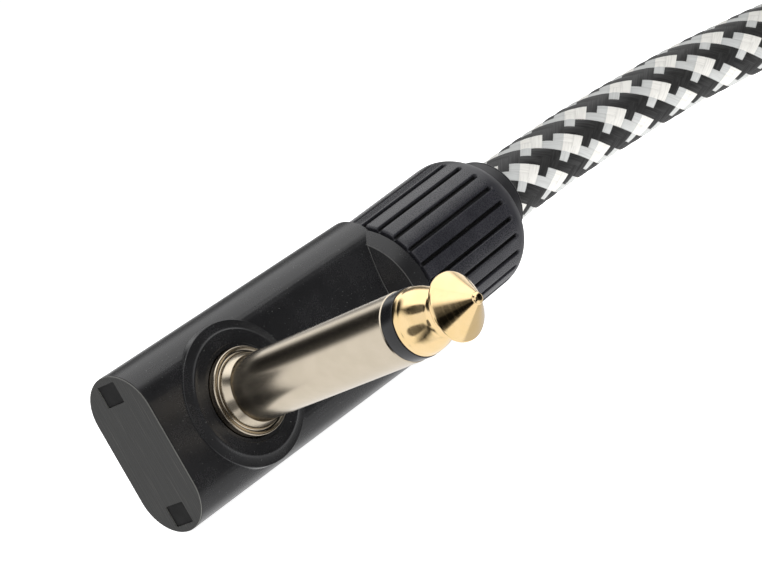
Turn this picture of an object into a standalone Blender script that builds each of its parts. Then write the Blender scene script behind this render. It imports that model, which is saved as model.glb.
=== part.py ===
"""Instrument cable: a right-angle 6.35 mm jack plug, 3 m of braided cable and a straight plug.

World frame: +Z up, the surface it lies on at z = 0. The right-angle plug lies on its side with
its cable leaving along +X and its jack shaft pointing along -Y. The origin is under the middle
of the right-angle plug's box. Plug dimensions are in millimetres and pass through MM.
"""
from math import cos, pi, radians, sin

import bmesh
import bpy
from mathutils import Matrix, Vector

MM = 0.001
GAP = 0.3  # clearance between neighbouring solids, mm

# Jack shaft, measured along the shaft from the plane that seats on a socket (mm)
SHAFT_R = 3.175
SLEEVE_END = 22.36
TIP_START = 23.83
NECK_Z, NECK_R = 27.0, 2.0
HEAD_Z, HEAD_R = 28.53, 3.08
TIP_END, TIP_END_R = 31.38, 0.5
FERRULE_R, FERRULE_TOP = 4.26, 0.67
ROD_R, LINER_R = 1.2, 1.9

# Right-angle housing: a slab with round edges (mm)
END_X, CAP_THICK = -10.36, 1.0
HOUSING_X0, HOUSING_X1 = END_X + CAP_THICK + GAP, 25.0
HALF_WIDTH, HALF_THICK = 7.97, 3.96
MID_Z = -4.4
WALL = 1.0
BOSS_R0, BOSS_R1, BOSS_BORE = 6.0, 6.97, 4.75
WINDOW_Y, WINDOW_W, WINDOW_H = 6.2, 2.1, 2.5

# Cable gland, measured along its axis from the housing's neck (mm)
NECK_X, NECK_Y, GLAND_TILT = 23.4, -0.17, radians(2.3)
NECK_RIM_R, NECK_FLANGE_R, SPIGOT_R, SPIGOT_BORE = 6.45, 7.15, 5.9, 5.05
NECK_FACE, NECK_CONE, SPIGOT_END = 1.6, 0.77, 13.0
NUT_START, NUT_END = 1.9, 19.6
NUT_R, NUT_GROOVE, NUT_BORE, NUT_MOUTH = 7.41, 0.45, 6.2, 5.05
NUT_RIBS, RIB_PHASE = 24, radians(8.5)
COLLAR_END, COLLAR_R, COLLAR_BORE = 23.0, 4.7, 4.1
JACKET_START = 0.6

# Cable and hank (mm)
CABLE_R = 3.75
TURN_IN, TURN_OUT = 21.0, 28.5
PLUG_LANE = (TURN_IN + TURN_OUT) / 2  # the straight plug lies over the middle of the turns
HANK_X, HANK_RUN = 138.0, 86.8
HANK_LAYERS = 4
TIE_X, TIE_WIDTH, TIE_THICK = 45.0, 15.0, 1.2

# Straight plug (mm, along its own axis from its seating plane, tip at +)
SHELL_END = -27.0
FAR_FRONT_R, FAR_REAR_R = 5.8, 7.2

# Where the right-angle plug stands in the world (mm)
GLAND_LENGTH = COLLAR_END * cos(GLAND_TILT)
NUT_LOW = MID_Z - NUT_R
SHAFT_X = -(END_X + NECK_X + GLAND_LENGTH + COLLAR_R * sin(GLAND_TILT)) / 2
SEAT_Y = (TIP_END + NUT_LOW) / 2
AXIS_Z = HALF_WIDTH

# The cable from the collar on to the surface: points in the right-angle plug's own axes (mm)
RUN_POINTS = (
    (60, 1.27, -4.2), (66, 1.17, -3.9), (72, 0.98, -3.43), (78, 0.76, -2.83), (84, 0.47, -2.1),
    (92, -0.2, -0.85), (100, -1.0, 0.6), (108, -1.95, 2.2), (117, -2.9, 3.85),
)
HANK_Y = SEAT_Y - 5.5  # the far side of the hank's outer turns, in the world

FINE, COARSE = 32, 20  # sides of the visible and of the hidden turned parts

COLOURS = {
    "black_plastic": ((0.012, 0.012, 0.013), 0.28, 0.0),
    "grey_plastic": ((0.035, 0.035, 0.036), 0.55, 0.0),
    "nickel": ((0.62, 0.58, 0.52), 0.22, 1.0),
    "gold": ((0.95, 0.72, 0.36), 0.2, 1.0),
    "insulator": ((0.01, 0.01, 0.011), 0.4, 0.0),
    "rubber": ((0.025, 0.025, 0.027), 0.6, 0.0),
    "brass": ((0.7, 0.5, 0.2), 0.35, 1.0),
    "braid": ((0.45, 0.45, 0.43), 0.85, 0.0),
    "copper": ((0.75, 0.38, 0.22), 0.35, 1.0),
    "core": ((0.75, 0.72, 0.66), 0.5, 0.0),
    "strap": ((0.015, 0.015, 0.016), 0.9, 0.0),
}


# ---------------------------------------------------------------- scene helpers
def empty_scene():
    for obj in list(bpy.data.objects):
        bpy.data.objects.remove(obj, do_unlink=True)


def new_collection(name):
    collection = bpy.data.collections.new(name)
    bpy.context.scene.collection.children.link(collection)
    return collection


empty_scene()
PARTS = new_collection("instrument_cable")
CUTTERS = new_collection("cutters")


def finish_of(node, finish):
    """The node's own Principled material, in one of the named finishes."""
    colour, roughness, metallic = COLOURS[finish]
    material = bpy.data.materials.new(node + "_" + finish)
    material.use_nodes = True
    shader = material.node_tree.nodes["Principled BSDF"]
    shader.inputs["Base Color"].default_value = (*colour, 1.0)
    shader.inputs["Roughness"].default_value = roughness
    shader.inputs["Metallic"].default_value = metallic
    return material


def add(name, data, parent, finish=None):
    """A new object under parent, in the parts or, with no finish, among the cutters."""
    obj = bpy.data.objects.new(name, data)
    (PARTS if finish else CUTTERS).objects.link(obj)
    obj.parent = parent
    if finish:
        data.materials.append(finish_of(name, finish))
    else:
        obj.hide_render = True
        obj.display_type = "WIRE"
    return obj


def placed_empty(name, location, rotation, parent=None):
    empty = bpy.data.objects.new(name, None)
    PARTS.objects.link(empty)
    empty.parent = parent
    empty.location = Vector(location) * MM
    empty.rotation_euler = rotation
    return empty


# ---------------------------------------------------------------- shapes
def turned(name, profile, parent, finish=None, sides=FINE):
    """A profile of (radius, height) in mm, down its outer side, turned about local Z.

    A profile that starts and ends on the axis makes a solid; any other is closed into a ring.
    """
    mesh = bpy.data.meshes.new(name)
    points = [(r * MM, 0.0, z * MM) for r, z in profile]
    edges = [(i, i + 1) for i in range(len(points) - 1)]
    if profile[0][0] > 0:
        edges.append((len(points) - 1, 0))
    mesh.from_pydata(points, edges, [])
    obj = add(name, mesh, parent, finish)
    screw = obj.modifiers.new("turn", "SCREW")
    screw.axis = "Z"
    screw.steps = screw.render_steps = sides
    screw.use_merge_vertices = True
    screw.merge_threshold = 0.00001
    screw.use_smooth_shade = False
    return obj


def bush(name, outer, inner, top, bottom, parent, finish=None, sides=FINE):
    """A plain ring."""
    profile = [(outer, top), (outer, bottom), (inner, bottom), (inner, top)]
    return turned(name, profile, parent, finish, sides)


def rod(name, radius, top, bottom, parent, finish=None, sides=FINE):
    """A plain solid cylinder."""
    profile = [(0, top), (radius, top), (radius, bottom), (0, bottom)]
    return turned(name, profile, parent, finish, sides)


def stadium(half_width, half_height, steps=8):
    """A flat outline with round ends, its long way along x: half_height is the end radius."""
    straight = half_width - half_height
    outline = []
    for side in (1, -1):
        for i in range(steps + 1):
            angle = -pi / 2 + pi * i / steps + (0 if side > 0 else pi)
            outline.append((side * straight + half_height * cos(angle), half_height * sin(angle)))
    return outline


def rectangle(x0, x1, y0, y1):
    return [(x0, y0), (x1, y0), (x1, y1), (x0, y1)]


def slab(name, outlines, z0, z1, parent, finish=None):
    """Flat outlines in mm, the first one outside and the others holes, between z0 and z1."""
    curve = bpy.data.curves.new(name, "CURVE")
    curve.dimensions = "2D"
    curve.fill_mode = "BOTH"
    curve.extrude = (z1 - z0) / 2 * MM
    for outline in outlines:
        spline = curve.splines.new("POLY")
        spline.points.add(len(outline) - 1)
        for point, (x, y) in zip(spline.points, outline):
            point.co = (x * MM, y * MM, 0.0, 1.0)
        spline.use_cyclic_u = True
    source = add(name + "_outline", curve, parent)
    source.location.z = (z0 + z1) / 2 * MM
    return as_mesh(source, name, finish)


def as_mesh(source, name, finish=None):
    """The curve object as a welded mesh object in the same place; the curve is removed."""
    bpy.context.view_layer.update()
    evaluated = source.evaluated_get(bpy.context.evaluated_depsgraph_get())
    mesh = bpy.data.meshes.new_from_object(evaluated)
    mesh.materials.clear()
    welded = bmesh.new()
    welded.from_mesh(mesh)
    bmesh.ops.remove_doubles(welded, verts=welded.verts, dist=0.000005)
    bmesh.ops.recalc_face_normals(welded, faces=welded.faces)
    welded.to_mesh(mesh)
    welded.free()
    obj = add(name, mesh, source.parent, finish)
    obj.matrix_parent_inverse = source.matrix_parent_inverse.copy()
    obj.matrix_world = source.matrix_world.copy()
    bpy.data.objects.remove(source, do_unlink=True)
    return obj


def box(name, low, high, parent, finish=None):
    """A box from its low and high corners in mm."""
    mesh = bpy.data.meshes.new(name)
    cube = bmesh.new()
    size = [(b - a) * MM for a, b in zip(low, high)]
    middle = [(a + b) / 2 * MM for a, b in zip(low, high)]
    bmesh.ops.create_cube(cube, size=1.0)
    bmesh.ops.scale(cube, vec=size, verts=cube.verts)
    bmesh.ops.translate(cube, vec=middle, verts=cube.verts)
    cube.to_mesh(mesh)
    cube.free()
    return add(name, mesh, parent, finish)


def combine(obj, other, operation):
    """Unites, cuts or keeps the overlap of obj with a shape that is a cutter."""
    modifier = obj.modifiers.new(operation.lower() + "_" + other.name, "BOOLEAN")
    modifier.operation = operation
    modifier.solver = "EXACT"
    modifier.object = other


def smooth_route(points, step):
    """Points about step apart on a Catmull-Rom curve through the route's points."""
    ends = [2 * points[0] - points[1]] + points + [2 * points[-1] - points[-2]]
    route = []
    for a, b, c, d in zip(ends, ends[1:], ends[2:], ends[3:]):
        count = max(1, round((c - b).length / step))
        for i in range(count):
            t = i / count
            route.append(
                0.5
                * (2 * b + (c - a) * t + (2 * a - 5 * b + 4 * c - d) * t**2
                   + (3 * b - a - 3 * c + d) * t**3)
            )
    route.append(points[-1])
    return route


def tube(name, route, radius, parent, finish, resolution=2):
    """A round tube with flat caps along a route of points in metres."""
    curve = bpy.data.curves.new(name, "CURVE")
    curve.dimensions = "3D"
    curve.bevel_depth = radius * MM
    curve.bevel_resolution = resolution
    curve.render_resolution_u = 0
    curve.use_fill_caps = True
    spline = curve.splines.new("POLY")
    spline.points.add(len(route) - 1)
    for point, place in zip(spline.points, route):
        point.co = (*place, 1.0)
    return add(name, curve, parent, finish)


# ---------------------------------------------------------------- jack shaft, used by both plugs
def jack_shaft(prefix, parent, rod_end):
    """Sleeve, insulators and tip contact, seating plane at z = 0 and the tip at +z."""
    bush(prefix + "plug_sleeve", SHAFT_R, LINER_R + GAP, SLEEVE_END, -3.5, parent, "nickel")
    bush(
        prefix + "tip_insulator", SHAFT_R - 0.05, ROD_R + GAP,
        TIP_START - GAP, SLEEVE_END + GAP, parent, "insulator", COARSE,
    )
    bush(
        prefix + "insulating_tube", LINER_R, ROD_R + GAP,
        SLEEVE_END - GAP, -3.8, parent, "insulator", COARSE,
    )
    ferrule = [
        (FERRULE_R - 0.25, FERRULE_TOP), (FERRULE_R, FERRULE_TOP - 0.25), (FERRULE_R, -1.3),
        (SHAFT_R + GAP, -1.3), (SHAFT_R + GAP, 0.45), (FERRULE_R - 0.5, 0.4),
    ]
    turned(prefix + "ferrule", ferrule, parent, "nickel")
    tip = [
        (0, TIP_END), (TIP_END_R, TIP_END - 0.15), (HEAD_R - 0.12, HEAD_Z + 0.3), (HEAD_R, HEAD_Z),
        (HEAD_R - 0.35, HEAD_Z - 0.45), (NECK_R, NECK_Z), (2.35, 26.0), (2.8, 25.1),
        (3.05, TIP_START + 0.35), (3.05, TIP_START), (ROD_R, TIP_START), (ROD_R, rod_end), (0, rod_end),
    ]
    turned(prefix + "tip_contact", tip, parent, "gold", 24)


def solder_lug(name, ring_z, thick, hole, tab_to, parent, finish):
    """A flat washer with a tab along +X."""
    washer = [(3.3 * cos(a), 3.3 * sin(a)) for a in arc(pi * 0.1, pi * 1.9, 14)]
    outline = washer + [(tab_to, -1.0), (tab_to, 1.0)]
    bore = [(hole * cos(a), hole * sin(a)) for a in arc(0, 2 * pi, 16)[:-1]]
    return slab(name, [outline, bore], ring_z, ring_z + thick, parent, finish)


def arc(start, end, steps):
    return [start + (end - start) * i / steps for i in range(steps + 1)]


# ---------------------------------------------------------------- cable gland, used by both plugs
def ribbed_nut(name, parent):
    """The gland nut: flat ribs with narrow grooves, a domed end and a mouth for the collar."""
    body = [
        (NUT_R, NUT_START), (NUT_R, NUT_END - 3.2), (NUT_R - 0.35, NUT_END - 1.9),
        (NUT_R - 1.1, NUT_END - 0.6), (NUT_MOUTH + 0.4, NUT_END), (NUT_MOUTH, NUT_END),
        (NUT_MOUTH, NUT_END - 3.1), (NUT_BORE, NUT_END - 3.1), (NUT_BORE, NUT_START),
    ]
    nut = turned(name, body[::-1], parent, "black_plastic", 2 * NUT_RIBS)
    shape = bpy.data.meshes.new(name + "_grooves")
    grooves = bmesh.new()
    for i in range(NUT_RIBS):
        turn = Matrix.Rotation(RIB_PHASE + 2 * pi * i / NUT_RIBS, 4, "Z")
        low, high = NUT_START - 1.0, NUT_END - 5.0
        place = turn @ Matrix.Translation((NUT_R * MM, 0, (low + high) / 2 * MM))
        size = Matrix.Diagonal((2 * NUT_GROOVE * MM, 0.6 * MM, (high - low) * MM, 1.0))
        bmesh.ops.create_cube(grooves, size=1.0, matrix=place @ size)
    grooves.to_mesh(shape)
    grooves.free()
    combine(nut, add(name + "_grooves", shape, parent), "DIFFERENCE")
    return nut


def cable_gland(prefix, parent):
    """Chuck, thrust ring, nut and collar on a spigot, the cable leaving along local +Z."""
    chuck = [
        (4.5, SPIGOT_END - 0.4), (4.75, SPIGOT_END - 1.6), (4.75, 3.0), (4.4, 2.4),
        (CABLE_R + GAP, 2.4), (CABLE_R + GAP, SPIGOT_END - 0.4),
    ]
    jaws = turned(prefix + "cable_chuck", chuck, parent, "grey_plastic", COARSE)
    for i in range(2):
        slot = box(
            prefix + f"chuck_slot_{i}", (-6, -0.4, 5.0), (6, 0.4, SPIGOT_END + 1), parent
        )
        slot.rotation_euler.z = pi / 4 + i * pi / 2
        combine(jaws, slot, "DIFFERENCE")
    bush(
        prefix + "thrust_ring", NUT_BORE - 0.35, COLLAR_BORE + 0.2,
        SPIGOT_END + 1.5, SPIGOT_END + GAP, parent, "brass", COARSE,
    )
    ribbed_nut(prefix + "gland_nut", parent)
    collar = [
        (COLLAR_BORE, COLLAR_END), (COLLAR_R - 0.3, COLLAR_END), (COLLAR_R, COLLAR_END - 0.6),
        (COLLAR_R, NUT_END - 3.4), (NUT_BORE - 0.35, NUT_END - 3.4),
        (NUT_BORE - 0.35, SPIGOT_END + 1.8), (COLLAR_BORE, SPIGOT_END + 1.8),
    ]
    turned(prefix + "cable_collar", collar, parent, "rubber", 24)
    rod(
        prefix + "cable_end", CABLE_R, COLLAR_END - 0.1, JACKET_START, parent, "braid", COARSE
    )


# ---------------------------------------------------------------- right-angle plug
def along_x(parent, name, location):
    """An empty whose local x, y and z run along the parent's y, z and x."""
    return placed_empty(name, location, (pi / 2, 0, pi / 2), parent)


def right_angle_plug():
    plug = placed_empty("plug_place", (SHAFT_X, SEAT_Y, AXIS_Z), (pi / 2, 0, 0))
    gland = placed_empty(
        "gland_place", (NECK_X, NECK_Y, MID_Z), (pi / 2, 0, pi / 2 + GLAND_TILT), plug
    )
    section = along_x(plug, "section_place", (0, 0, MID_Z))
    housing(plug, gland, section)
    end_cap(section)
    latch_frame(section)
    jack_shaft("", plug, -5.5)
    contacts(plug)
    cable_gland("", gland)
    cable_ends(plug, gland)


def housing(plug, gland, section):
    shell = slab(
        "housing", [stadium(HALF_WIDTH, HALF_THICK)], HOUSING_X0, HOUSING_X1, section, "black_plastic"
    )
    neck = turned(
        "housing_neck",
        [(0, SPIGOT_END), (SPIGOT_R, SPIGOT_END), (SPIGOT_R, NECK_FACE), (NECK_FLANGE_R, NECK_FACE),
         (NECK_RIM_R, 0), (HALF_THICK, -NECK_CONE), (0, -NECK_CONE)],
        gland,
    )
    boss = turned(
        "housing_boss",
        [(0, 0), (BOSS_R0, 0), (BOSS_R1, -0.43), (BOSS_R1, -1.2), (0, -1.2)],
        plug,
    )
    inside = HALF_THICK - WALL
    cavity = slab(
        "housing_cavity", [stadium(HALF_WIDTH - WALL, inside)], HOUSING_X0 - 1, NECK_X - 0.7, section
    )
    bore = rod("gland_bore", SPIGOT_BORE, SPIGOT_END + 1, 0.3, gland)
    throat = rod("gland_throat", 2.8, 2, -3, gland, sides=COARSE)
    shaft_hole = rod("shaft_hole", BOSS_BORE, 1, MID_Z, plug)
    for part in (neck, boss):
        combine(shell, part, "UNION")
    for part in (cavity, bore, throat, shaft_hole):
        combine(shell, part, "DIFFERENCE")


def end_cap(section):
    """The plate that closes the housing's end, with a square window near each side."""
    half = WINDOW_W / 2
    windows = [
        rectangle(y - half, y + half, -WINDOW_H / 2, WINDOW_H / 2) for y in (WINDOW_Y, -WINDOW_Y)
    ]
    outline = stadium(HALF_WIDTH, HALF_THICK)
    slab("end_cap", [outline, *windows], END_X, END_X + CAP_THICK, section, "grey_plastic")


def latch_frame(section):
    """A bar across the housing's end with a latch block behind each window."""
    outer, inner, deep, bar = 6.4, 4.9, 3.0, 1.2
    frame = box("latch_frame", (-outer, -0.9, 0), (outer, 0.9, deep), section, "grey_plastic")
    frame.location.z = (END_X + CAP_THICK + 2 * GAP) * MM
    middle = box("latch_frame_gap", (-inner, -2, bar), (inner, 2, deep + 1), section)
    middle.location = frame.location
    combine(frame, middle, "DIFFERENCE")


def contacts(plug):
    """The nut, lugs, washer and rivet stacked on the shaft inside the housing."""
    nut = bush("sleeve_nut", 5.0, SHAFT_R + GAP, -1.8, -3.3, plug, "nickel", 24)
    combine(nut, rod("sleeve_nut_hexagon", 5.2, 0, -5, plug, sides=6), "INTERSECT")
    solder_lug("ground_lug", -4.2, 0.4, ROD_R + GAP, 8.5, plug, "brass")
    bush("rear_washer", 3.0, ROD_R + GAP, -4.5, -4.8, plug, "insulator", COARSE)
    solder_lug("tip_lug", -5.5, 0.4, ROD_R + GAP, 10.5, plug, "brass")
    rod("tip_rivet", 2.0, -5.8, -6.5, plug, "nickel", COARSE)


def cable_ends(plug, gland):
    """The stripped layers of the cable inside the housing, and the two joints it makes."""
    rod("inner_jacket", 2.3, JACKET_START - GAP, -3.0, gland, "rubber", 16)
    rod("core_insulation", 1.2, -3.0 - GAP, -6.5, gland, "core", 12)
    conductor = [Vector(p) * MM for p in (
        (16.5, -0.45, -4.45), (15.2, -0.4, -4.6), (13.6, -0.2, -4.75), (11.0, 0.0, -4.75),
    )]
    tube("conductor", smooth_route(conductor, 1.4 * MM), 0.4, plug, "copper")
    shield = [Vector(p) * MM for p in (
        (19.6, 2.2, -4.2), (17.0, 3.0, -3.6), (13.0, 2.6, -3.2), (10.0, 1.6, -3.1), (7.6, 0.6, -3.1),
    )]
    tube("shield_pigtail", smooth_route(shield, 1.8 * MM), 0.45, plug, "copper")


# ---------------------------------------------------------------- straight plug on the far end
def straight_plug(tip_place, tip_rotation):
    plug = placed_empty("far_plug_place", tip_place, tip_rotation)
    gland = placed_empty("far_gland_place", (0, 0, SHELL_END), (pi, 0, 0), plug)
    jack_shaft("far_", plug, -9.0)
    shell = [
        (BOSS_BORE, 0), (FAR_FRONT_R - 0.4, 0), (FAR_FRONT_R, -0.5), (FAR_FRONT_R + 0.4, -8.0),
        (FAR_REAR_R, -20.0), (FAR_REAR_R, SHELL_END - NECK_FACE), (SPIGOT_R, SHELL_END - NECK_FACE),
        (SPIGOT_R, SHELL_END - SPIGOT_END), (SPIGOT_BORE, SHELL_END - SPIGOT_END), (SPIGOT_BORE, -4.0),
        (BOSS_BORE, -3.8),
    ]
    turned("far_shell", shell, plug, "black_plastic")
    bush("far_sleeve_nut", 4.4, SHAFT_R + GAP, -1.6, -3.3, plug, "nickel", COARSE)
    bush("far_rear_washer", 3.0, ROD_R + GAP, -4.3, -5.2, plug, "insulator", COARSE)
    bush("far_ground_lug", 4.2, ROD_R + GAP, -5.5, -5.9, plug, "brass", COARSE)
    rod("far_tip_rivet", 1.9, -9.3, -10.2, plug, "nickel", COARSE)
    cable_gland("far_", gland)
    rod("far_inner_jacket", 2.3, JACKET_START - GAP, -6.0, gland, "rubber", 16)
    rod("far_core_insulation", 1.2, -6.0 - GAP, -12.0, gland, "core", 12)
    rod("far_conductor", 0.45, -12.0 - GAP, -16.4, gland, "copper", 12)


# ---------------------------------------------------------------- cable
def gland_point(along, mouth=0.0):
    """World point in mm on the right-angle plug's gland axis, past the collar's mouth."""
    x = NECK_X + (along + mouth) * cos(GLAND_TILT)
    y = NECK_Y + (along + mouth) * sin(GLAND_TILT)
    return Vector((SHAFT_X + x, SEAT_Y - MID_Z, AXIS_Z + y))


def run_route():
    """From the collar, a little upwards with the gland, then down and round on to the surface."""
    line = [gland_point(COLLAR_END, GAP + d) for d in (0.0, 4.0, 8.0)]
    line += [Vector((SHAFT_X + x, SEAT_Y - z, AXIS_Z + y)) for x, y, z in RUN_POINTS]
    return [p * MM for p in line]


def tail_route(far_x, plug_x, top, axis_z):
    """Along the hank's top, round its far end and into the straight plug, from near to far."""
    middle_y = HANK_Y - TURN_OUT
    near_x = SHAFT_X + HANK_X
    level = top + GAP + CABLE_R
    line = [Vector((near_x + d, HANK_Y, level)) for d in (2, 14, 28, 45, 62, 78)]
    line.append(Vector((far_x - 4, HANK_Y, level)))
    for i in range(1, 8):
        angle = pi / 2 - pi * i / 8
        radius = TURN_OUT - (TURN_OUT - PLUG_LANE) * i / 8
        height = level + (axis_z - level) * (1 - cos(pi * i / 8)) / 2
        line.append(Vector((far_x + radius * cos(angle), middle_y + radius * sin(angle), height)))
    line += [Vector((x, middle_y - PLUG_LANE, axis_z)) for x in (far_x - 1, plug_x + 4, plug_x)]
    return [p * MM for p in line]


def hank(far_x):
    """The wound cable's outer shape, an oval ring with a recess under it for the tie, and the tie."""
    middle_x = SHAFT_X + HANK_X + HANK_RUN / 2
    middle_y = HANK_Y - TURN_OUT
    outer, inner = TURN_OUT + CABLE_R, TURN_IN - CABLE_R
    place = placed_empty("hank_place", (middle_x, middle_y, 0), (0, 0, 0))
    outlines = [stadium(HANK_RUN / 2 + r, r, 12) for r in (outer, inner)]
    height = 2 * CABLE_R * HANK_LAYERS
    ring = slab("cable_hank", outlines, 0, height, place, "braid")
    tie_x = TIE_X - HANK_RUN / 2
    half = TIE_WIDTH / 2 + GAP
    recess = box(
        "tie_recess", (tie_x - half, inner - 5, -1), (tie_x + half, outer + 5, TIE_THICK + GAP), place
    )
    combine(ring, recess, "DIFFERENCE")
    slack = GAP + 0.1
    slab(
        "hank_tie",
        [rectangle(inner - slack - TIE_THICK, outer + slack + TIE_THICK, 0, height + 10.2),
         rectangle(inner - slack, outer + slack, TIE_THICK, height + 10.2 - TIE_THICK)],
        tie_x - TIE_WIDTH / 2, tie_x + TIE_WIDTH / 2, along_x(place, "tie_place", (0, 0, 0)), "strap",
    )


def cable():
    far_x = SHAFT_X + HANK_X + HANK_RUN
    top = 2 * CABLE_R * HANK_LAYERS
    axis_z = top + GAP + NUT_R + 0.1
    plug_x = far_x - 10.0
    tube("cable_run", smooth_route(run_route(), 8 * MM), CABLE_R, None, "braid", 3)
    hank(far_x)
    tube(
        "cable_tail", smooth_route(tail_route(far_x, plug_x, top, axis_z), 9 * MM),
        CABLE_R, None, "braid", 3,
    )
    seat_x = plug_x - GAP - COLLAR_END + SHELL_END
    near_y = HANK_Y - TURN_OUT - PLUG_LANE
    straight_plug((seat_x, near_y, axis_z), (0, -pi / 2, 0))


right_angle_plug()
cable()
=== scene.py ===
"""Instrument cable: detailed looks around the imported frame.

Lengths are in millimetres, and MM turns them into metres where they meet Blender or the frame. Plug pieces
are built in the plug's own axes: the jack shaft along +z from the plane that seats on a socket, +x towards
the gland.
"""

from math import cos, pi, radians, sin

import bmesh
import bpy
import numpy as np
from mathutils import Matrix, Vector

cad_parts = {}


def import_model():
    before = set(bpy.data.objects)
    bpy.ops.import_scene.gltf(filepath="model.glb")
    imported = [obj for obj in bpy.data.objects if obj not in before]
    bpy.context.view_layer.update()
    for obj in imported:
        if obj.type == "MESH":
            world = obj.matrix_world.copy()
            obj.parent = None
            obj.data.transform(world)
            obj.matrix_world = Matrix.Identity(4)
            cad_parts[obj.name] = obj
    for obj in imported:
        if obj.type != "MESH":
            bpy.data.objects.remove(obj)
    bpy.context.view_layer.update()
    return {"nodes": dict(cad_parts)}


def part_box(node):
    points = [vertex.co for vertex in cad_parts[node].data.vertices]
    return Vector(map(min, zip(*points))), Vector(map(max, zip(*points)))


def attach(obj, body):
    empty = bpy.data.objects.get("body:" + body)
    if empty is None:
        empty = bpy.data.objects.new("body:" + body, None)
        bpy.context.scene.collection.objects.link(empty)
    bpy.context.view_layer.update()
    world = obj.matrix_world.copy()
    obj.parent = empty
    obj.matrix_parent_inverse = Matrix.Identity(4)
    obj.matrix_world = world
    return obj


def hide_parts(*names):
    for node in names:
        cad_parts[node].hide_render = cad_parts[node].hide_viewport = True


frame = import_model()

MM = 0.001

# Camera: place, lens and sensor width, and the world directions of the picture's right, up and back
CAMERA_PLACE, LENS, SENSOR = (-159.795, -155.425, 32.84), 112.97, 36.0
PICTURE_RIGHT = (0.585399, -0.649193, -0.485651)
PICTURE_UP = (0.408618, -0.281123, 0.868333)
PICTURE_BACK = (-0.700243, -0.706767, 0.100703)

# Jack shaft
SHAFT_R, SLEEVE_END = 3.175, 22.36
FERRULE_R = 4.26

# Right-angle housing
END_X, HOUSING_X1 = -10.36, 25.0
PLATE_EDGE = 0.12  # thickness of the end plate's rim
HALF_WIDTH, HALF_THICK, WALL = 7.97, 3.96, 1.0
MID_Z = -4.4
WINDOW_Y, WINDOW_W, WINDOW_H = 6.2, 2.1, 2.5

# Cable gland, along its own axis
NECK_X, NECK_Y, GLAND_TILT = 23.4, -0.17, radians(2.3)
NUT_START, NUT_END, NUT_R, NUT_BORE, NUT_MOUTH = 1.9, 19.6, 7.41, 6.2, 5.05
NUT_RIBS, RIB_PHASE = 24, radians(8.5)
GROOVE_DEPTH, GROOVE_FLOOR, GROOVE_FLANK, GROOVE_END = 0.40, 0.06, 0.28, 16.4
COLLAR_END, COLLAR_SHORT, COLLAR_R, COLLAR_BORE = 23.0, 0.5, 4.7, 4.1
COLLAR_LEAN, LEAN_START, LEAN_RUN = 0.5, 18.6, 3.9

# Straight plug
SHELL_END = -27.0

# Cable and hank
GAP = 0.3
CABLE_R = 3.75
TURN_IN, TURN_OUT = 21.0, 28.5
HANK_X, HANK_RUN, HANK_LAYERS = 138.0, 86.8, 4
CROSSING_BULGE, OUTER_BULGE = 3.75, 6.5
TIE_X, TIE_WIDTH, TIE_THICK, TIE_LIFT, TIE_RAMP = 45.0, 15.0, 1.2, 1.3, 26.0
RUN_POINTS = (
    (60, 1.27, -4.2), (66, 1.17, -3.9), (72, 0.98, -3.43), (78, 0.76, -2.83), (84, 0.47, -2.1),
    (92, -0.2, -0.85), (100, -1.0, 0.6), (108, -1.95, 2.2), (117, -2.9, 3.85), (128, -3.9, 5.2),
)
CORD_START = 8.0  # along the gland, hidden in the collar
CORD_RISE = (0.24, 0.26)  # of its first two points past the collar
MODELLED, FADE = 82.0, 4.0  # length of cable whose strands are modelled, and where they fade out
FINE_STEP, COARSE_STEP, PATH_STEP = 0.2, 2.6, 7

# Braid: strands each way, lead per mm of the two families, and phases
STRANDS, LEAD_A, LEAD_B, PHASE_A, PHASE_B = 16, 0.4621, 0.4783, 0.2449, 1.0701
STRAND_BASE, STRAND_CROWN, STRAND_WAVE = 0.16, 0.035, 0.06
SINK, STRAND_SINK = 0.05, 0.27  # the modelled stretch's core below the cable's radius

# Light, each as (direction, full within degrees, gone at degrees, strength)
PANELS = (
    ((-0.75, 0.62, 0.05), 38, 62, 1.0),
    ((0.40, 0.02, 0.90), 34, 56, 1.45),
    ((0.70, 0.60, 0.28), 21, 39, 1.05),
    ((0.60, 0.10, -0.80), 45, 75, 0.6),
    ((0.0, 0.72, -0.70), 38, 62, 1.0),
    ((-1.0, -0.25, 0.45), 22, 45, 0.9),
    ((-0.25, -0.50, 0.83), 18, 40, 1.35),
    ((-0.20, -0.45, -0.86), 24, 42, 1.0),
)
SHADES = (
    ((-0.15, 0.707, 0.69), 15, 30, 0.97),
    ((0.69, 0.56, 0.46), 8, 19, 0.85),
    ((-0.65, -0.69, -0.32), 15, 21, 0.9),
    ((-0.55, -0.13, 0.82), 13, 19, 0.9),
    ((-0.98, 0.03, -0.15), 12, 18, 0.85),
    ((0.70, -0.707, 0.0), 25, 40, 0.95),
)
ROOM_GLOW, FLOOR_GLOW = 0.05, 0.97

low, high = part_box("plug_sleeve")
SHAFT_X = (low.x + high.x) / 2 / MM
AXIS_Z = (low.z + high.z) / 2 / MM
SEAT_Y = low.y / MM + SLEEVE_END
PLUG = Matrix.Translation(Vector((SHAFT_X, SEAT_Y, AXIS_Z)) * MM) @ Matrix.Rotation(pi / 2, 4, "X")
ALONG_X = Matrix.Rotation(pi / 2, 4, "Z") @ Matrix.Rotation(pi / 2, 4, "X")
GLAND = (
    PLUG
    @ Matrix.Translation(Vector((NECK_X, NECK_Y, MID_Z)) * MM)
    @ Matrix.Rotation(GLAND_TILT, 4, "Z")
    @ ALONG_X
)
SECTION = PLUG @ Matrix.Translation(Vector((0, 0, MID_Z)) * MM) @ ALONG_X
low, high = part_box("far_plug_sleeve")
FAR_SEAT = Vector((low.x / MM + SLEEVE_END, (low.y + high.y) / 2 / MM, (low.z + high.z) / 2 / MM))
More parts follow.
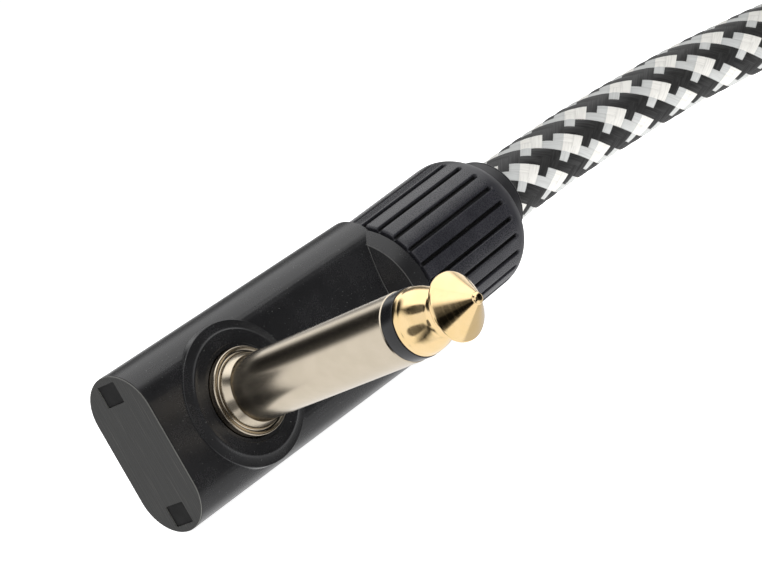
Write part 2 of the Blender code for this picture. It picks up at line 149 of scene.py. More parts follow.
FAR = Matrix.Translation(FAR_SEAT * MM) @ Matrix.Rotation(-pi / 2, 4, "Y")
FAR_GLAND = FAR @ Matrix.Translation((0, 0, SHELL_END * MM)) @ Matrix.Rotation(pi, 4, "X")
HANK_Y = SEAT_Y - 5.5  # the far side of the hank's outer turns
PIECES = bpy.data.collections.new("pieces")
bpy.context.scene.collection.children.link(PIECES)


# ---------------------------------------------------------------- camera
def camera():
    data = bpy.data.cameras.new("camera")
    data.lens, data.sensor_width, data.clip_start = LENS, SENSOR, 0.005
    obj = bpy.data.objects.new("camera", data)
    turn = Matrix((PICTURE_RIGHT, PICTURE_UP, PICTURE_BACK)).transposed().to_4x4()
    obj.matrix_world = Matrix.Translation(Vector(CAMERA_PLACE) * MM) @ turn
    PIECES.objects.link(obj)
    bpy.context.scene.camera = obj


# ---------------------------------------------------------------- meshes
def add(name, vertices, faces, place, material):
    """A smooth-shaded piece; vertices in mm in the place's axes."""
    mesh = bpy.data.meshes.new(name)
    mesh.from_pydata((np.asarray(vertices, float) * MM).tolist(), [], faces)
    mesh.materials.append(material)
    obj = bpy.data.objects.new(name, mesh)
    PIECES.objects.link(obj)
    obj.matrix_world = place
    tidy_mesh(obj)
    return obj


def tidy_mesh(obj, sharp=32):
    """Welds, turns the normals outwards and shades smooth with sharp edges above an angle."""
    work = bmesh.new()
    work.from_mesh(obj.data)
    bmesh.ops.remove_doubles(work, verts=work.verts, dist=1e-7)
    bmesh.ops.recalc_face_normals(work, faces=work.faces)
    for face in work.faces:
        face.smooth = True
    for edge in work.edges:
        edge.smooth = edge.calc_face_angle(0.0) < radians(sharp)
    work.to_mesh(obj.data)
    work.free()


def weight_normals(obj):
    modifier = obj.modifiers.new("normals", "WEIGHTED_NORMAL")
    modifier.keep_sharp = True
    return obj


def grid_faces(rows, columns, closed_rows=False):
    faces = []
    for i in range(rows if closed_rows else rows - 1):
        a, b = i * columns, (i + 1) % rows * columns
        for j in range(columns):
            k = (j + 1) % columns
            faces.append((a + j, a + k, b + k, b + j))
    return faces


def softened(profile, radius, steps=4):
    """Rounds the corners of an open profile of (x, y) points."""
    points = [Vector(p[:2]) for p in profile]
    out = [tuple(points[0])]
    for a, b, c in zip(points, points[1:], points[2:]):
        before, after = (a - b), (c - b)
        turn = before.normalized().dot(after.normalized())
        reach = min(radius, before.length * 0.45, after.length * 0.45)
        if turn < -0.97:
            out.append(tuple(b))
            continue
        p, q = b + before.normalized() * reach, b + after.normalized() * reach
        for i in range(steps + 1):
            t = i / steps
            out.append(tuple(p * (1 - t) ** 2 + b * 2 * t * (1 - t) + q * t**2))
    out.append(tuple(points[-1]))
    return out


def curve_through(points, steps):
    """Catmull-Rom points through (x, y) or (x, y, z) points."""
    ends = [2 * points[0] - points[1], *points, 2 * points[-1] - points[-2]]
    out = []
    for a, b, c, d in zip(ends, ends[1:], ends[2:], ends[3:]):
        for i in range(steps):
            t = i / steps
            out.append(
                0.5 * (2 * b + (c - a) * t + (2 * a - 5 * b + 4 * c - d) * t**2
                       + (3 * b - a - 3 * c + d) * t**3)
            )
    out.append(points[-1])
    return out


def rounded_run(points, steps=6):
    return [tuple(p) for p in curve_through([Vector((*p, 0)) for p in points], steps)]


def lathe(name, profile, place, material, sides=192, ring=False):
    """A profile of (radius, height) turned about the place's z; a ring's profile closes on itself."""
    angles = np.linspace(0, 2 * pi, sides, endpoint=False)
    rows = [
        np.stack([p[0] * np.cos(angles), p[0] * np.sin(angles), np.full(sides, p[1])], 1)
        for p in profile
    ]
    faces = grid_faces(len(rows), sides, ring)
    return weight_normals(add(name, np.concatenate(rows), faces, place, material))


def stadium(half_width, half_height, steps=28):
    straight = half_width - half_height
    outline = []
    for side in (1, -1):
        for i in range(steps + 1):
            angle = -pi / 2 + pi * i / steps + (0 if side > 0 else pi)
            outline.append((side * straight + half_height * cos(angle), half_height * sin(angle)))
    return outline


def loft(name, levels, place, material):
    """Round-ended slabs of (half width, half height, height along z), capped at both ends."""
    rows = [[(x, y, z) for x, y in stadium(w, h)] for w, h, z in levels]
    count = len(rows[0])
    faces = grid_faces(len(rows), count)
    faces += [tuple(range(count)), tuple(range((len(rows) - 1) * count, len(rows) * count))]
    return add(name, [v for row in rows for v in row], faces, place, material)


def block(name, low, high, place, material, bevel=0.0):
    mesh = bpy.data.meshes.new(name)
    work = bmesh.new()
    bmesh.ops.create_cube(work, size=1.0)
    size = [(b - a) * MM for a, b in zip(low, high)]
    bmesh.ops.scale(work, vec=size, verts=work.verts)
    bmesh.ops.translate(work, vec=[(a + b) / 2 * MM for a, b in zip(low, high)], verts=work.verts)
    if bevel:
        bmesh.ops.bevel(
            work, geom=work.edges, offset=bevel * MM, segments=4, affect="EDGES", profile=0.5
        )
    work.to_mesh(mesh)
    work.free()
    mesh.materials.append(material)
    obj = bpy.data.objects.new(name, mesh)
    PIECES.objects.link(obj)
    obj.matrix_world = place
    return obj


def carve(obj, steps):
    """Applies (operation, cutter) steps to obj for good and removes the cutters."""
    for operation, cutter in steps:
        modifier = obj.modifiers.new(operation, "BOOLEAN")
        modifier.operation, modifier.solver, modifier.object = operation, "EXACT", cutter
    bpy.context.view_layer.update()
    shaped = bpy.data.meshes.new_from_object(obj.evaluated_get(bpy.context.evaluated_depsgraph_get()))
    obj.modifiers.clear()
    obj.data = shaped
    for _, cutter in steps:
        bpy.data.objects.remove(cutter, do_unlink=True)
    tidy_mesh(obj, 24)
    return weight_normals(obj)


# ---------------------------------------------------------------- materials
class Graph:
    """A Principled material being wired; sockets and numbers are both values."""

    def __init__(self, name):
        self.material = bpy.data.materials.new(name)
        self.material.use_nodes = True
        self.tree = self.material.node_tree
        self.shader = self.tree.nodes["Principled BSDF"]
        coordinates = self.tree.nodes.new("ShaderNodeTexCoord")
        self.uv = coordinates.outputs["UV"]
        self.point = self.vector("SCALE", coordinates.outputs["Object"], scale=1000.0)
        parts = self.node("ShaderNodeSeparateXYZ", {0: self.point})
        self.x, self.y, self.z = parts.outputs
        self.radius = self.math("SQRT", self.math(
            "ADD", self.math("MULTIPLY", self.x, self.x), self.math("MULTIPLY", self.y, self.y)))

    def feed(self, socket, value):
        if isinstance(value, bpy.types.NodeSocket):
            self.tree.links.new(value, socket)
        elif isinstance(value, tuple) and len(value) == 3 and socket.type == "RGBA":
            socket.default_value = (*value, 1.0)
        else:
            socket.default_value = value

    def node(self, kind, inputs=(), **settings):
        node = self.tree.nodes.new(kind)
        for key, value in settings.items():
            setattr(node, key, value)
        for key, value in dict(inputs).items():
            self.feed(node.inputs[key], value)
        return node

    def math(self, operation, a, b=0.0, c=0.0):
        return self.node("ShaderNodeMath", {0: a, 1: b, 2: c}, operation=operation).outputs[0]

    def vector(self, operation, a, b=(0, 0, 0), scale=1.0):
        inputs = {0: a, 1: b, "Scale": scale}
        return self.node("ShaderNodeVectorMath", inputs, operation=operation).outputs[0]

    def combine(self, x, y, z):
        return self.node("ShaderNodeCombineXYZ", {0: x, 1: y, 2: z}).outputs[0]

    def noise(self, scale, point=None, detail=2.0, roughness=0.5):
        inputs = {"Vector": point or self.point, "Scale": scale, "Detail": detail}
        inputs["Roughness"] = roughness
        return self.node("ShaderNodeTexNoise", inputs).outputs[0]

    def ramp(self, value, start, end, first=0.0, last=1.0):
        inputs = {0: value, 1: start, 2: end, 3: first, 4: last}
        node = self.node("ShaderNodeMapRange", inputs, interpolation_type="SMOOTHSTEP")
        return node.outputs[0]

    def mix(self, factor, a, b):
        node = self.node("ShaderNodeMix", {0: factor, 6: a, 7: b}, data_type="RGBA")
        return node.outputs[2]

    def bump(self, height, distance, normal=None, strength=1.0):
        """Distance is in mm for a height from 0 to 1."""
        inputs = {"Height": height, "Distance": distance * MM, "Strength": strength}
        if normal:
            inputs["Normal"] = normal
        return self.node("ShaderNodeBump", inputs).outputs[0]

    def finish(self, **values):
        for key, value in values.items():
            name = key.replace("_", " ").title().replace("Ior", "IOR")
            self.feed(self.shader.inputs[name], value)
        return self.material


def moulded(name, colour, rough, grain=0.004, specks=0.0):
    """A moulded plastic or rubber: fine grain, uneven sheen and a few specks of dust."""
    g = Graph(name)
    uneven = g.noise(0.35, detail=4.0)
    fine = g.noise(9.0, detail=3.0)
    dust = g.ramp(g.noise(5.5, detail=1.0), 0.72, 0.78)
    base = g.mix(g.ramp(uneven, 0.3, 0.7), colour, tuple(c * 1.25 for c in colour))
    base = g.mix(g.math("MULTIPLY", dust, specks), base, (0.16, 0.17, 0.16))
    sheen = g.math("ADD", g.ramp(uneven, 0.25, 0.75, rough * 0.9, rough * 1.12),
                   g.ramp(fine, 0.3, 0.7, 0.0, 0.03))
    normal = g.bump(fine, grain, g.bump(g.noise(1.1), grain * 2))
    return g.finish(base_color=base, roughness=sheen, normal=normal)


def ribbed_plastic():
    """Satin black with a blue cast, dull down in the nut's grooves and darkened there with painted shade.
    """
    g = Graph("satin_black_plastic")
    fine = g.noise(9.0, detail=3.0)
    # Painted shade: the grooves darkened and duller towards their floor
    groove_shade = g.ramp(g.radius, NUT_R - 0.32, NUT_R - 0.06, 1.0, 0.0)
    along = g.math("MULTIPLY", g.ramp(g.z, NUT_START, NUT_START + 0.3),
                   g.ramp(g.z, GROOVE_END, GROOVE_END + 0.5, 1.0, 0.0))
    groove_shade = g.math("MULTIPLY", groove_shade, along)
    base = g.mix(g.ramp(g.noise(0.5, detail=4.0), 0.3, 0.7), (0.022, 0.022, 0.027), (0.031, 0.031, 0.037))
    base = g.mix(groove_shade, base, (0.006, 0.006, 0.006))
    normal = g.bump(fine, 0.005, g.bump(g.noise(1.1), 0.012))
    dome = g.ramp(g.z, NUT_END - 3.2, NUT_END - 1.0)
    rough = g.math("MULTIPLY_ADD", dome, 0.16, g.ramp(fine, 0.3, 0.7, 0.25, 0.30))
    dull = g.math("MAXIMUM", g.math("MULTIPLY", groove_shade, 0.38), g.math("MULTIPLY", dome, 0.26))
    return g.finish(
        base_color=base, roughness=rough, normal=normal,
        specular_ior_level=g.math("SUBTRACT", 0.5, dull),
    )


def end_face_grey():
    """Satin grey with faint lines across the face, along the plug's y, a painted highlight on the rim's
    bevel, and near-black painted shade on everything set back past the rim.
    """
    g = Graph("end_face_grey")
    lines = g.noise(1.0, g.combine(g.math("MULTIPLY", g.x, 0.12), g.math("MULTIPLY", g.y, 5.0), 0.0))
    fine = g.noise(14.0, detail=3.0)
    base = g.mix(g.ramp(fine, 0.3, 0.7), (0.014, 0.014, 0.013), (0.020, 0.020, 0.019))
    base = g.mix(g.ramp(lines, 0.60, 0.72, 0.0, 0.7), base, (0.060, 0.057, 0.052))
    # Painted highlight: a lighter band along the plate's rim bevel
    rim = g.math("MULTIPLY", g.ramp(g.z, END_X + 0.008, END_X + 0.03),
                 g.ramp(g.z, END_X + 0.10, END_X + 0.12, 1.0, 0.0))
    base = g.mix(rim, base, (0.13, 0.13, 0.12))
    # Painted shade: near black on everything set back past the rim, such as the window walls
    inside = g.ramp(g.z, END_X + 0.11, END_X + 0.15)
    base = g.mix(inside, base, (0.002, 0.002, 0.002))
    normal = g.bump(lines, 0.03, g.bump(fine, 0.006))
    rough = g.math("MAXIMUM", g.ramp(lines, 0.2, 0.8, 0.46, 0.56), inside)
    return g.finish(base_color=base, roughness=rough, normal=normal)


def turned_metal(name, colour, tint, rough, rings, pits):
    """Plated metal with fine turning marks round the axis and a little pitting."""
    g = Graph(name)
    profile = g.combine(g.math("MULTIPLY", g.radius, 7.0), 0.0, g.math("MULTIPLY", g.z, 7.0))
    marks = g.noise(1.0, profile, detail=4.0, roughness=0.65)
    broad = g.noise(0.6, detail=3.0)
    grain = g.noise(16.0, detail=2.0)
    base = g.mix(g.ramp(broad, 0.3, 0.7), colour, tint)
    sheen = g.math("ADD", g.ramp(marks, 0.3, 0.7, rough - 40 * rings, rough + 60 * rings),
                   g.ramp(grain, 0.45, 0.75, 0.0, 0.05))
    normal = g.bump(marks, rings, g.bump(grain, pits))
    return g.finish(base_color=base, metallic=1.0, roughness=sheen, normal=normal)


def braid_cloth():
    """Two families of flat strands, over two and under two, in a houndstooth of black and white."""
    g = Graph("braid_cloth")
    parts = g.node("ShaderNodeSeparateXYZ", {0: g.uv})
    turn, along = parts.outputs[0], parts.outputs[1]
    around = g.math("MULTIPLY", turn, float(STRANDS))
    a = g.math("ADD", g.math("MULTIPLY_ADD", along, -LEAD_A * 1000, around), PHASE_A)
    b = g.math("ADD", g.math("MULTIPLY_ADD", along, LEAD_B * 1000, around), PHASE_B)
    cell_a, cell_b = g.math("FLOOR", a), g.math("FLOOR", b)
    part_a, part_b = g.math("FRACT", a), g.math("FRACT", b)
    both = g.math("FLOORED_MODULO", g.math("ADD", cell_a, cell_b), 4.0)
    top_a = g.math("LESS_THAN", both, 1.5)
    dark_a = g.math("LESS_THAN", g.math("FLOORED_MODULO", cell_a, 4.0), 1.5)
    dark_b = g.math("LESS_THAN", g.math("FLOORED_MODULO", cell_b, 4.0), 1.5)
    dark = g.math("ADD", g.math("MULTIPLY", dark_a, top_a),
                  g.math("MULTIPLY", dark_b, g.math("SUBTRACT", 1.0, top_a)))
    swap = g.node("ShaderNodeMix", {0: top_a, 2: part_b, 3: part_a}).outputs[0]
    other = g.node("ShaderNodeMix", {0: top_a, 2: part_a, 3: part_b}).outputs[0]
    across_a = g.math("MULTIPLY", a, 7.0)
    across_b = g.math("MULTIPLY", b, 7.0)
    fibres_a = g.noise(1.0, g.combine(across_a, g.math("MULTIPLY", b, 0.35), 1.0), detail=3.0)
    fibres_b = g.noise(1.0, g.combine(g.math("MULTIPLY", a, 0.35), across_b, 9.0), detail=3.0)
    fibres = g.node("ShaderNodeMix", {0: top_a, 2: fibres_b, 3: fibres_a}).outputs[0]
    edge = g.math("MULTIPLY", g.math("SUBTRACT", swap, 0.5), 2.0)
    edge = g.math("MULTIPLY", edge, edge)
    step = g.math("SUBTRACT", both, g.math("MULTIPLY", g.math("SUBTRACT", 1.0, top_a), 2.0))
    crest = g.math("SINE", g.math("MULTIPLY", g.math("ADD", step, other), pi / 2))
    height = g.math("MULTIPLY", g.math("SUBTRACT", 1.0, edge), g.math("ADD", 0.45, crest))
    # Painted shade: strands darker at their edges and where they dip under the other family
    shade = g.math("MULTIPLY", g.ramp(edge, 0.75, 1.0, 1.0, 0.86), g.ramp(crest, 0.0, 0.45, 0.92, 1.0))
    under = g.node("ShaderNodeMix", {0: top_a, 2: dark_a, 3: dark_b}).outputs[0]
    pale = g.mix(under, (0.88, 0.865, 0.82), (0.61, 0.62, 0.61))
    pale = g.mix(g.ramp(fibres, 0.3, 0.6), g.vector("SCALE", pale, scale=0.86), pale)
    black = g.mix(g.ramp(fibres, 0.35, 0.7), (0.010, 0.010, 0.010), (0.032, 0.032, 0.032))
    base = g.vector("SCALE", g.mix(dark, pale, black), scale=shade)
    modelled = g.node("ShaderNodeAttribute", attribute_name="modelled").outputs["Fac"]
    depth = g.ramp(modelled, 0.0, 1.0, 1.0, 0.0)
    normal = g.bump(fibres, 0.05, g.bump(height, 0.3, strength=depth))
    return g.finish(base_color=base, roughness=g.ramp(dark, 0.0, 1.0, 0.85, 0.55), normal=normal)


def strap_cloth():
    """Plain black webbing."""
    g = Graph("strap_cloth")
    waves = []
    for direction in ("X", "Z"):
        wave = g.node("ShaderNodeTexWave", {"Vector": g.point, "Scale": 0.9, "Distortion": 0.4},
                      bands_direction=direction)
        waves.append(wave.outputs[1])
    weave = g.math("MULTIPLY", *waves)
    fluff = g.noise(9.0, detail=4.0)
    base = g.mix(g.ramp(fluff, 0.3, 0.7), (0.010, 0.010, 0.011), (0.035, 0.035, 0.037))
    normal = g.bump(weave, 0.12, g.bump(fluff, 0.08))
    return g.finish(base_color=base, roughness=0.88, normal=normal)


GLOSS = moulded("gloss_black_plastic", (0.015, 0.015, 0.016), 0.24, 0.002, 0.5)
# Light grey for the neck's fine beads: painted highlight lines
HIGHLIGHT_EDGE = moulded("painted_highlight_edge", (0.075, 0.075, 0.073), 0.4, 0.003)
NUT_PLASTIC = ribbed_plastic()
GREY = end_face_grey()
DARK_GREY = moulded("grey_nylon", (0.03, 0.03, 0.031), 0.5, 0.006)
# Near black: the latch frame's own colour, and painted shade in the window blocks
SHADED = moulded("dark_nylon_and_painted_shade", (0.007, 0.007, 0.007), 0.9, 0.006)
NICKEL = turned_metal("nickel_plate", (0.68, 0.595, 0.475), (0.65, 0.57, 0.45), 0.19, 0.00012, 0.0009)
GOLD = turned_metal("gold_plate", (1.0, 0.75, 0.42), (0.98, 0.72, 0.37), 0.09, 0.0014, 0.0007)
INSULATOR = moulded("black_insulator", (0.010, 0.010, 0.011), 0.2, 0.002)
RUBBER = moulded("collar_rubber", (0.015, 0.015, 0.017), 0.42, 0.008)
BRASS = turned_metal("plain_brass", (0.75, 0.56, 0.26), (0.68, 0.50, 0.22), 0.28, 0.0010, 0.003)
COPPER = turned_metal("bare_copper", (0.80, 0.42, 0.26), (0.70, 0.36, 0.22), 0.3, 0.0012, 0.004)
CORE = moulded("natural_polyethylene", (0.62, 0.60, 0.54), 0.45, 0.004)
BRAID = braid_cloth()
STRAP = strap_cloth()


# ---------------------------------------------------------------- cable
def gland_point(along):
    """World point in mm on the gland's axis."""
    x = NECK_X + along * cos(GLAND_TILT)
    y = NECK_Y + along * sin(GLAND_TILT)
    return Vector((SHAFT_X + x, SEAT_Y - MID_Z, AXIS_Z + y))


def smooth(t):
    """Eases a value from 0 to 1."""
    return t * t * (3 - 2 * t)


def tie_lift(x):
    """How far the turns are raised on the strap that passes under them."""
    t = 1 - abs(x - (SHAFT_X + HANK_X + TIE_X)) / TIE_RAMP
    return TIE_LIFT * smooth(max(0.0, min(1.0, t * 1.6)))


def turns():
    """World points of the wound turns, then of the tail round to the straight plug."""
    near_x, far_x = SHAFT_X + HANK_X, SHAFT_X + HANK_X + HANK_RUN
    middle = HANK_Y - TURN_OUT
    layer = [CABLE_R * (2 * k + 1) for k in range(HANK_LAYERS + 1)]
    slots = [(TURN_OUT, 0), (TURN_IN, 0), (TURN_IN, 1), (TURN_OUT, 1), (TURN_OUT, 2), (TURN_IN, 2),
             (TURN_IN, 3), (TURN_OUT, 3), (TURN_OUT, 4)]
    out_steps, far_steps, back_steps, near_steps = 13, 14, 9, 18
    points = []
    for (radius, level), (next_radius, next_level) in zip(slots, slots[1:]):
        z = layer[level]
        for i in range(out_steps):
            x = near_x + HANK_RUN * i / out_steps
            points.append(Vector((x, middle + radius, z + tie_lift(x))))
        for i in range(far_steps):
            angle = pi / 2 - pi * i / far_steps
            points.append(Vector((far_x + radius * cos(angle), middle + radius * sin(angle), z)))
        for i in range(back_steps):
            points.append(Vector((far_x - HANK_RUN * i / back_steps, middle - radius, z)))
        bulge = OUTER_BULGE if radius == TURN_OUT else 0.0
        if radius != next_radius:
            bulge = CROSSING_BULGE
        for i in range(near_steps):
            q = i / near_steps
            angle = -pi / 2 - pi * q
            r = radius + (next_radius - radius) * smooth(q) + bulge * sin(pi * q)
            height = z + (layer[next_level] - z) * smooth(q)
            points.append(Vector((near_x + r * cos(angle), middle + r * sin(angle), height)))
    level = layer[-1]
    points += [Vector((near_x + d, HANK_Y, level + tie_lift(near_x + d))) for d in range(0, 84, 7)]
    points.append(Vector((far_x - 4, HANK_Y, level)))
    lane = middle - FAR_SEAT.y
    for i in range(1, far_steps):
        angle = pi / 2 - pi * i / far_steps
        radius = TURN_OUT - (TURN_OUT - lane) * i / far_steps
        height = level + (FAR_SEAT.z - level) * (1 - cos(pi * i / far_steps)) / 2
        points.append(Vector((far_x + radius * cos(angle), middle + radius * sin(angle), height)))
    end = FAR_SEAT.x - SHELL_END
    return points + [Vector((end + d, *FAR_SEAT[1:])) for d in (39, 34, 29, COLLAR_END, 16, CORD_START)]


def cable_line():
    """The whole centre line as evenly spaced points in mm, and the distance along it from the collar."""
    start = [gland_point(d) for d in (CORD_START, 14, 19, COLLAR_END + GAP, 27.3)]
    start[3].z += CORD_RISE[0]
    start[4].z += CORD_RISE[1]
    run = [Vector((SHAFT_X + x, SEAT_Y - z, AXIS_Z + y)) for x, y, z in RUN_POINTS]
    line = np.array(curve_through(start + run + turns(), 12))
    reach = np.r_[0, np.cumsum(np.linalg.norm(np.diff(line, axis=0), axis=1))]
    return line, reach


def frames(line, start):
    """Two unit vectors square to the line at every point, carried along it without twist."""
    tangent = np.gradient(line, axis=0)
    tangent /= np.linalg.norm(tangent, axis=1)[:, None]
    first = np.zeros_like(line)
    carried = np.array(start, float)
    for i, t in enumerate(tangent):
        carried = carried - t * (carried @ t)
        carried /= np.linalg.norm(carried)
        first[i] = carried
    return first, np.cross(first, tangent)


def strand_relief(turn, along):
    """Height in mm of the strands above the cable's core at a turn (0-1) and distance along (mm)."""
    a = STRANDS * turn - LEAD_A * along + PHASE_A
    b = STRANDS * turn + LEAD_B * along + PHASE_B
    both = np.mod(np.floor(a) + np.floor(b), 4)
    top = both < 2
    across = np.where(top, a, b) % 1
    step = np.where(top, both, both - 2) + np.where(top, b, a) % 1
    width = 1 - np.abs(2 * across - 1) ** 3
    wave = np.sin(pi * step / 2) * (0.35 + 0.65 * width)
    return STRAND_BASE + STRAND_CROWN * width + STRAND_WAVE * wave


def cable():
    """The braided cable as one piece, its path as points in metres, and its length in metres."""
    line, reach = cable_line()
    collar = COLLAR_END + GAP - CORD_START
    fine = np.arange(0, collar + MODELLED, FINE_STEP)
    coarse = np.linspace(fine[-1], reach[-1], int((reach[-1] - fine[-1]) / COARSE_STEP))[1:]
    places = np.r_[fine, coarse]
    centre = np.stack([np.interp(places, reach, line[:, k]) for k in range(3)], 1)
    side, up = frames(centre, (0, -1, 0))
    n_fine, n_coarse = 192, 24
    vertices, uvs, faces, rings = [], [], [], []
    for i, place in enumerate(places):
        count = n_fine if i < len(fine) else n_coarse
        turn = np.arange(count) / count
        angle = turn * 2 * pi
        radius = np.full(count, CABLE_R)
        if i < len(fine):
            edge = smooth(min(1.0, (fine[-1] - place) / FADE))
            radius = CABLE_R - SINK - STRAND_SINK * edge + strand_relief(turn, place - collar) * edge
        offset = np.cos(angle)[:, None] * side[i] + np.sin(angle)[:, None] * up[i]
        rings.append((len(vertices), count))
        vertices.extend(centre[i] + radius[:, None] * offset)
    for (a, n), (b, m), v0, v1 in zip(rings, rings[1:], places, places[1:]):
        v0, v1 = (v0 - collar) * MM, (v1 - collar) * MM
        if n == m:
            for j in range(n):
                k = (j + 1) % n
                faces.append((a + j, b + j, b + k, a + k))
                uvs += [(j / n, v0), (j / n, v1), ((j + 1) / n, v1), ((j + 1) / n, v0)]
            continue
        ratio = n // m
        for j in range(m):
            k = (j + 1) % m
            for s in range(ratio):
                f = j * ratio + s
                faces.append((a + f, b + j, a + (f + 1) % n))
                uvs += [(f / n, v0), (j / m, v1), ((f + 1) / n, v0)]
            faces.append((a + (j + 1) * ratio % n, b + j, b + k))
            uvs += [((j + 1) / m, v0), (j / m, v1), ((j + 1) / m, v1)]
    for (start, count), place in ((rings[0], places[0]), (rings[-1], places[-1])):
        faces.append(tuple(range(start, start + count)))
        uvs += [(j / count, (place - collar) * MM) for j in range(count)]
    mesh = bpy.data.meshes.new("braided_cable")
    mesh.from_pydata((np.array(vertices) * MM).tolist(), [], faces)
    mesh.uv_layers.new(name="along").data.foreach_set("uv", np.array(uvs).ravel())
    modelled = mesh.attributes.new("modelled", "FLOAT", "POINT")
    full = len(fine) - round(FADE / FINE_STEP)
    share = [1.0 if i < full else 0.0 for i, (_, n) in enumerate(rings) for _ in range(n)]
    modelled.data.foreach_set("value", share)
    mesh.materials.append(BRAID)
    mesh.shade_smooth()
    obj = bpy.data.objects.new("braided_cable", mesh)
    PIECES.objects.link(obj)
    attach(obj, "root")
    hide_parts("cable_end", "cable_run", "cable_hank", "cable_tail", "far_cable_end")
    stations = np.linspace(0, reach[-1], int(reach[-1] / PATH_STEP))
    path = [[float(np.interp(s, reach, line[:, k])) * MM for k in range(3)] for s in stations]
    return obj, path, float(reach[-1]) * MM


camera()
CABLE, CABLE_PATH, CABLE_LENGTH = cable()


# ---------------------------------------------------------------- jack shaft, used by both plugs
def place_piece(obj, body, slot, *nodes):
    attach(obj, body)
    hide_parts(*nodes)
    return obj


def jack_shaft(prefix, place):
    """Sleeve, ferrule, insulator and tip of a 6.35 mm mono plug."""
    sleeve = [(2.2, SLEEVE_END), (SHAFT_R - 0.08, SLEEVE_END), (SHAFT_R, SLEEVE_END - 0.08)]
    sleeve += [(SHAFT_R, z) for z in (20.0, 16.0, 12.0, 8.0, 4.0, 2.0, 1.02)]
    sleeve += [(3.34, 0.92), (3.34, -0.9), (SHAFT_R, -1.2), (SHAFT_R, -3.5), (2.2, -3.5)]
    ferrule = [(3.41, -1.3), (FERRULE_R, -1.3), (FERRULE_R, 0.46)]
    ferrule += rounded_run([(4.25, 0.54), (4.19, 0.64), (4.10, 0.65), (4.02, 0.58), (3.88, 0.51),
                            (3.75, 0.49), (3.66, 0.54), (3.61, 0.64)], 4)
    ferrule += rounded_run([(3.60, 0.80), (3.55, 0.96), (3.40, 1.32), (3.26, 1.64), (3.225, 1.71)], 4)
    ferrule += [(3.205, 1.70), (3.205, 1.05), (3.41, 0.97)]
    insulator = softened([(1.5, 22.40), (3.12, 22.40), (3.12, 23.79), (1.5, 23.79)], 0.07)
    tip = rounded_run([(0.0, 31.40), (0.26, 31.37), (0.45, 31.26), (0.55, 31.09), (0.57, 30.99),
                       (0.64, 30.93)], 4)
    tip += [(2.92, 28.74), (3.02, 28.66), (3.08, 28.56), (3.08, 28.42), (3.04, 28.34)]
    tip += rounded_run([(2.98, 28.28), (2.75, 28.1), (2.32, 27.86), (2.05, 27.5), (2.0, 27.0),
                        (2.08, 26.7), (2.25, 26.4), (2.55, 25.8), (2.8, 25.2), (2.94, 24.7),
                        (2.99, 24.32)], 5)
    tip += [(3.05, 24.18), (3.05, 23.88), (3.01, 23.84), (1.2, 23.84), (1.2, 20.0), (0.0, 20.0)]
    parts = [
        ("sleeve", sleeve, NICKEL, "nickel", "plug_sleeve", True),
        ("ferrule_ring", ferrule, NICKEL, "nickel", "ferrule", True),
        ("shaft_insulator", insulator, INSULATOR, "insulator", "tip_insulator", True),
        ("tip", tip, GOLD, "gold", "tip_contact", False),
    ]
    made = []
    for name, profile, material, slot, node, ring in parts:
        obj = lathe(prefix + name, profile, place, material, 192, ring)
        made.append(place_piece(obj, "root", slot, prefix + node))
    return made


# ---------------------------------------------------------------- gland, used by both plugs
def groove(arc, along):
    """Depth in mm of the nut's grooves at a distance round from a groove's middle and along it."""
    past = np.maximum(along - GROOVE_END, 0)
    t = np.clip((np.hypot(arc, past) - GROOVE_FLOOR) / GROOVE_FLANK, 0, 1)
    return GROOVE_DEPTH * (1 - smooth(t))


def ribbed_nut(prefix, place, body):
    """A turned profile whose outside dips into the grooves, with more columns where they are."""
    pitch = 2 * pi / NUT_RIBS
    half = pitch * NUT_R / 2
    right = [0.0, 0.05, 0.10, 0.15, 0.19, 0.23, 0.27, 0.31, 0.36, 0.48, 0.65, 0.8]
    offsets = np.array([-v for v in right[:0:-1]] + right + [half])
    arcs = np.tile(offsets, NUT_RIBS)
    angles = np.repeat(np.arange(NUT_RIBS) * pitch, len(offsets)) + arcs / NUT_R + RIB_PHASE
    arcs = np.abs((arcs + half) % (2 * half) - half)
    side = softened([(NUT_BORE, NUT_START + 0.05), (NUT_R - 0.14, NUT_START), (NUT_R, NUT_START + 0.2),
                     (NUT_R, 3.2)], 0.06)
    side += [(NUT_R, z) for z in np.arange(3.8, 15.6, 0.8)]
    side += [(NUT_R, z) for z in np.arange(15.7, 16.72, 0.06)]
    dome = rounded_run([(NUT_R, 16.78), (7.36, 17.4), (7.17, 18.0), (6.83, 18.6), (6.38, 19.14),
                        (5.95, 19.45), (5.45, 19.6)], 4)
    mouth = softened([(5.45, 19.6), (NUT_MOUTH, 19.6), (NUT_MOUTH, 16.5)], 0.12)
    profile = side + dome + mouth[1:] + [(NUT_BORE, 16.5)]
    inner = 6.5
    rows = []
    for r, z in (p[:2] for p in profile):
        radius = np.full(len(angles), float(r))
        if r > inner:
            limit = NUT_R - groove(arcs, z)
            radius = inner + (r - inner) * (limit - inner) / (NUT_R - inner)
        rows.append(np.stack([radius * np.cos(angles), radius * np.sin(angles),
                              np.full(len(angles), float(z))], 1))
    faces = grid_faces(len(rows), len(angles), True)
    obj = add(prefix + "ribbed_nut", np.concatenate(rows), faces, place, NUT_PLASTIC)
    return place_piece(weight_normals(obj), body, "black_plastic", prefix + "gland_nut")


